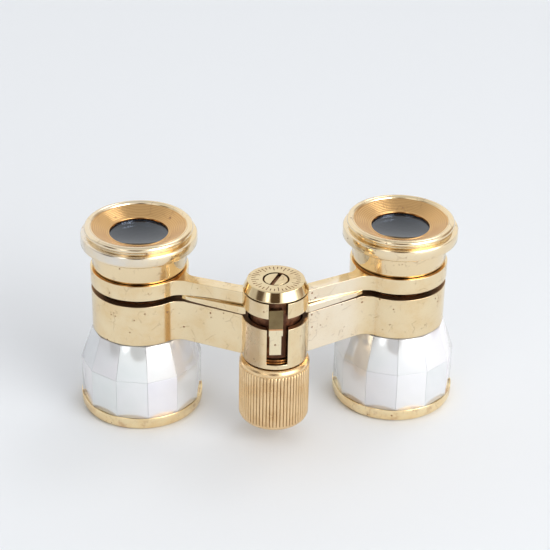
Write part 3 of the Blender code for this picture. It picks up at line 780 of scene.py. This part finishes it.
# Eyecups.
# Each is one turning in gilt brass: a neck, a wide flange, a bead and a shallow dish with fine tool rings,
# whose valleys are painted darker as painted shade. Handling has rubbed the bead and the flange pale in
# patches, the outer side of the left cup's flange and bead is painted silvery pale as a painted highlight,
# and the gold in the dish is still deep.
DISH_RINGS = 8
RING_STEPS = 4                 # turning steps across a ring
RING_WAVE = (0, 0.5, 1, 0.5)   # share of its depth at each step across a ring
RING_DEPTH = 0.09 * MM
aperture = 7.1 * MM
dish_start = aperture + 0.7 * MM
dish_radius = 11.35 * MM
cup_gilt = Finish("cup_gilt", Metallic=1.0)
where = cup_gilt.place()
mirrored = cup_gilt.node("ShaderNodeVectorMath", {"operation": "MULTIPLY_ADD"}, {
    0: cup_gilt.node("ShaderNodeVectorMath", {"operation": "ABSOLUTE"}, {0: where}),
    1: (1.0, 0.0, 0.0),
    2: cup_gilt.node("ShaderNodeVectorMath", {"operation": "MULTIPLY"}, {0: where, 1: (0.0, 1.0, 1.0)})})
height = cup_gilt.part(where, 2)
rub = cup_gilt.noise(where, 110, detail=4, rough=0.6).between(0.38, 0.60)
outer_side = 1 - cup_gilt.part(where, 0).between(-33 * MM, -23 * MM)
reach = cup_gilt.reach(mirrored, barrel_x, barrel_y)
outside = reach.between(dish_radius, dish_radius + 0.2 * MM)
ring_pitch = (dish_radius - dish_start) / DISH_RINGS
wave = reach.maths("COSINE", (reach - dish_start) * (2 * math.pi / ring_pitch))
# Painted shade: the dish's ring valleys are painted a darker brown gold.
valley_shade = wave.between(0.4, -1.0)
on_flange = height.between(45.2 * MM, 46.0 * MM) * (1 - height.between(47.9 * MM, 48.5 * MM) * 0.6)
# Partly real wear in noisy patches, partly a painted highlight on the outer side of the left cup.
worn_and_highlit = outside * on_flange * (outer_side * 0.7 + rub * 0.2)
dish = cup_gilt.mix(valley_shade, (0.71, 0.44, 0.19), (0.56, 0.32, 0.125))
fresh = cup_gilt.mix(outside, dish, (0.88, 0.71, 0.455))
plate_gold(cup_gilt, where, cup_gilt.mix(worn_and_highlit, fresh, (0.79, 0.76, 0.72)),
           cup_gilt.mix(worn_and_highlit * 0.8, fresh, (0.80, 0.71, 0.57)), 0.10, 0.14)
for side in SIDES:
    x, y, flange, foot, top = round_node("eyecup_" + side)
    neck = 11.6 * MM
    bore = 8.6 * MM
    lip = top - 2.05 * MM
    under = top - 2.5 * MM
    dish_edge = top - 0.42 * MM
    section = [
        (aperture, lip - 0.2 * MM), (aperture + 0.07 * MM, lip - 0.06 * MM), (aperture + 0.22 * MM, lip),
        (aperture + 0.40 * MM, lip - 0.02 * MM), (aperture + 0.52 * MM, lip - 0.07 * MM)]
    for step in range(DISH_RINGS * RING_STEPS + 1):
        share = step / (DISH_RINGS * RING_STEPS)
        radius = dish_start + (dish_radius - dish_start) * share
        groove = RING_DEPTH * RING_WAVE[step % RING_STEPS]
        section.append((radius, lip + (dish_edge - lip) * share - groove))
    section += [
        (11.5 * MM, top - 0.50 * MM), (11.62 * MM, top - 0.30 * MM), (11.78 * MM, top - 0.34 * MM),
        (11.9 * MM, top - 0.17 * MM), (12.2 * MM, top - 0.03 * MM), (12.5 * MM, top),
        (12.85 * MM, top - 0.12 * MM), (13.1 * MM, top - 0.38 * MM), (13.25 * MM, top - 0.75 * MM),
        (13.22 * MM, top - 1.1 * MM), (13.05 * MM, top - 1.35 * MM), (12.85 * MM, top - 1.45 * MM),
        (12.7 * MM, top - 1.62 * MM), (12.72 * MM, top - 1.82 * MM), (13.0 * MM, top - 1.94 * MM),
        (13.6 * MM, top - 2.0 * MM), (14.0 * MM, top - 2.12 * MM), (flange, top - 2.4 * MM),
        (flange, top - 4.5 * MM), (14.0 * MM, top - 4.75 * MM), (13.6 * MM, top - 5.0 * MM),
        (12.7 * MM, top - 5.3 * MM), (12.1 * MM, top - 5.6 * MM), (11.75 * MM, top - 5.95 * MM),
        (neck, top - 6.5 * MM), (neck, foot + 0.7 * MM), (neck - 0.1 * MM, foot + 0.5 * MM),
        (11.2 * MM, foot + 0.42 * MM), (11.1 * MM, foot + 0.35 * MM), (11.1 * MM, foot), (bore, foot),
        (bore, under), (aperture, under)]
    make_piece("turned_eyecup_" + side, spun(section[::-1], x, y, steps=144), cup_gilt, "carriage",
               "eyecup_gilt", "eyecup_" + side, sharp=40)


# Eye lenses and their retaining rings.
# Small hollow-ground lenses, tinted near black as painted shade for the dark inside of the eyepiece, held
# up against the lip of the eyecup by a blackened ring.
HOLLOW = 1.0 * MM              # depth of the ground face towards the eye
REAR_HOLLOW = 0.4 * MM
HOLLOW_RADIUS = 7.3 * MM
LENS_STEPS = 20                # from the middle of a face to its edge
dark_glass = Finish("eyepiece_glass", Base_Color=(0.05, 0.06, 0.08), Roughness=0.04, IOR=1.74,
                    Transmission_Weight=0.8, Specular_Tint=(0.88, 0.93, 1.0))
for side in SIDES:
    x, y, radius, foot, top = round_node("eyepiece_lens_" + side)
    section = []
    for step in range(LENS_STEPS + 1):
        share = step / LENS_STEPS
        section.append((HOLLOW_RADIUS * share, top - HOLLOW * (1 - share * share)))
    section += [(radius, top), (radius, foot)]
    for step in range(LENS_STEPS, -1, -1):
        share = step / LENS_STEPS
        section.append((HOLLOW_RADIUS * share, foot + REAR_HOLLOW * (1 - share * share)))
    make_piece("eye_lens_" + side, spun(section[::-1], x, y, closed=False), dark_glass, "carriage",
               "eyepiece_glass", "eyepiece_lens_" + side)
    dress("eyepiece_retainer_" + side, black)


# Table, light and camera.
# A plain pale table and one soft lamp from the right and in front. The room is pale, with brighter
# windows and darker patches low round the camera, so that the gilding has something to mirror.
floor_mesh = bmesh.new()
bmesh.ops.create_grid(floor_mesh, x_segments=1, y_segments=1, size=2.5)
bmesh.ops.translate(floor_mesh, verts=floor_mesh.verts, vec=(0, 0.8, -0.00002))
table = as_object("table_top", floor_mesh)
paper = Finish("white_paper", Base_Color=(0.785, 0.806, 0.835), Roughness=0.75, Specular_IOR_Level=0.2)
table.data.materials.append(paper.material)

sky = bpy.data.worlds.new("soft_room")
sky.use_nodes = True
bpy.context.scene.world = sky


class Room(Finish):
    """The world's node tree, with the same methods as a finish."""

    def __init__(self, world):
        self.tree = world.node_tree
        self.shader = self.tree.nodes["Background"]

    def towards(self, azimuth, elevation, inner, outer):
        """1 within an angle of a direction and 0 beyond a wider one. Azimuth 0 is +Y, 90 is +X."""
        turn, lift = math.radians(azimuth), math.radians(elevation)
        aim = (math.sin(turn) * math.cos(lift), math.cos(turn) * math.cos(lift), math.sin(lift))
        near = self.node("ShaderNodeVectorMath", {"operation": "DOT_PRODUCT"}, {0: self.way, 1: aim},
                         output="Value")
        return near.between(math.cos(math.radians(outer)), math.cos(math.radians(inner)))


room = Room(sky)
room.way = room.node("ShaderNodeTexCoord", output="Generated")
window = room.towards(135, 12, 14, 32)
side_strip = room.towards(214, 19, 4, 8)
back_window = room.towards(39, 57, 4, 12)
photographer = room.towards(187, 22, 14, 19)
furniture = room.towards(243, 18, 9, 18)
left_wall = room.towards(256, 9, 18, 40)
right_wall = room.towards(72, 12, 12, 30)
overhead = room.towards(0, 85, 20, 50)
bright = window * 2.2 + side_strip * 1.4 + back_window * 3.2
dark = photographer * 0.88 + furniture * 0.5 + left_wall * 0.35 + right_wall * 0.52 + overhead * 0.35
warm = (photographer + furniture * 0.6 + right_wall * 0.6).between(0.0, 1.0)
room.set(
    Color=room.mix(warm, (0.98, 0.99, 1.0), (0.86, 0.58, 0.38)),
    Strength=(1.0 + bright - dark) * 1.01)

lamp = bpy.data.lights.new("window_light", "AREA")
lamp.shape = "RECTANGLE"
lamp.size = 0.5
lamp.size_y = 0.4
lamp.energy = 2.1
lamp.color = (1.0, 0.985, 0.96)
window_light = bpy.data.objects.new("window_light", lamp)
window_light.location = (0.45, -0.50, 0.45)
lamp_aim = Vector((0, 0, 0.02)) - window_light.location
window_light.rotation_euler = lamp_aim.to_track_quat("-Z", "Y").to_euler()
bpy.context.scene.collection.objects.link(window_light)

CAMERA_PLACE = Vector((-33.7 * MM, -362.75 * MM, 239.2 * MM))
CAMERA_YAW = math.radians(5.44)
CAMERA_PITCH = math.radians(28.96)
CAMERA_ROLL = math.radians(1.18)
lens = bpy.data.cameras.new("view")
lens.lens = 111.7
lens.sensor_width = 36
lens.clip_start = 0.01
camera = bpy.data.objects.new("view", lens)
camera.rotation_euler = (
    Matrix.Rotation(-CAMERA_YAW, 3, "Z") @ Matrix.Rotation(math.pi / 2 - CAMERA_PITCH, 3, "X")
    @ Matrix.Rotation(CAMERA_ROLL, 3, "Z")).to_euler()
camera.location = CAMERA_PLACE
bpy.context.scene.collection.objects.link(camera)
bpy.context.scene.camera = camera
bpy.context.scene.view_settings.view_transform = "Standard"
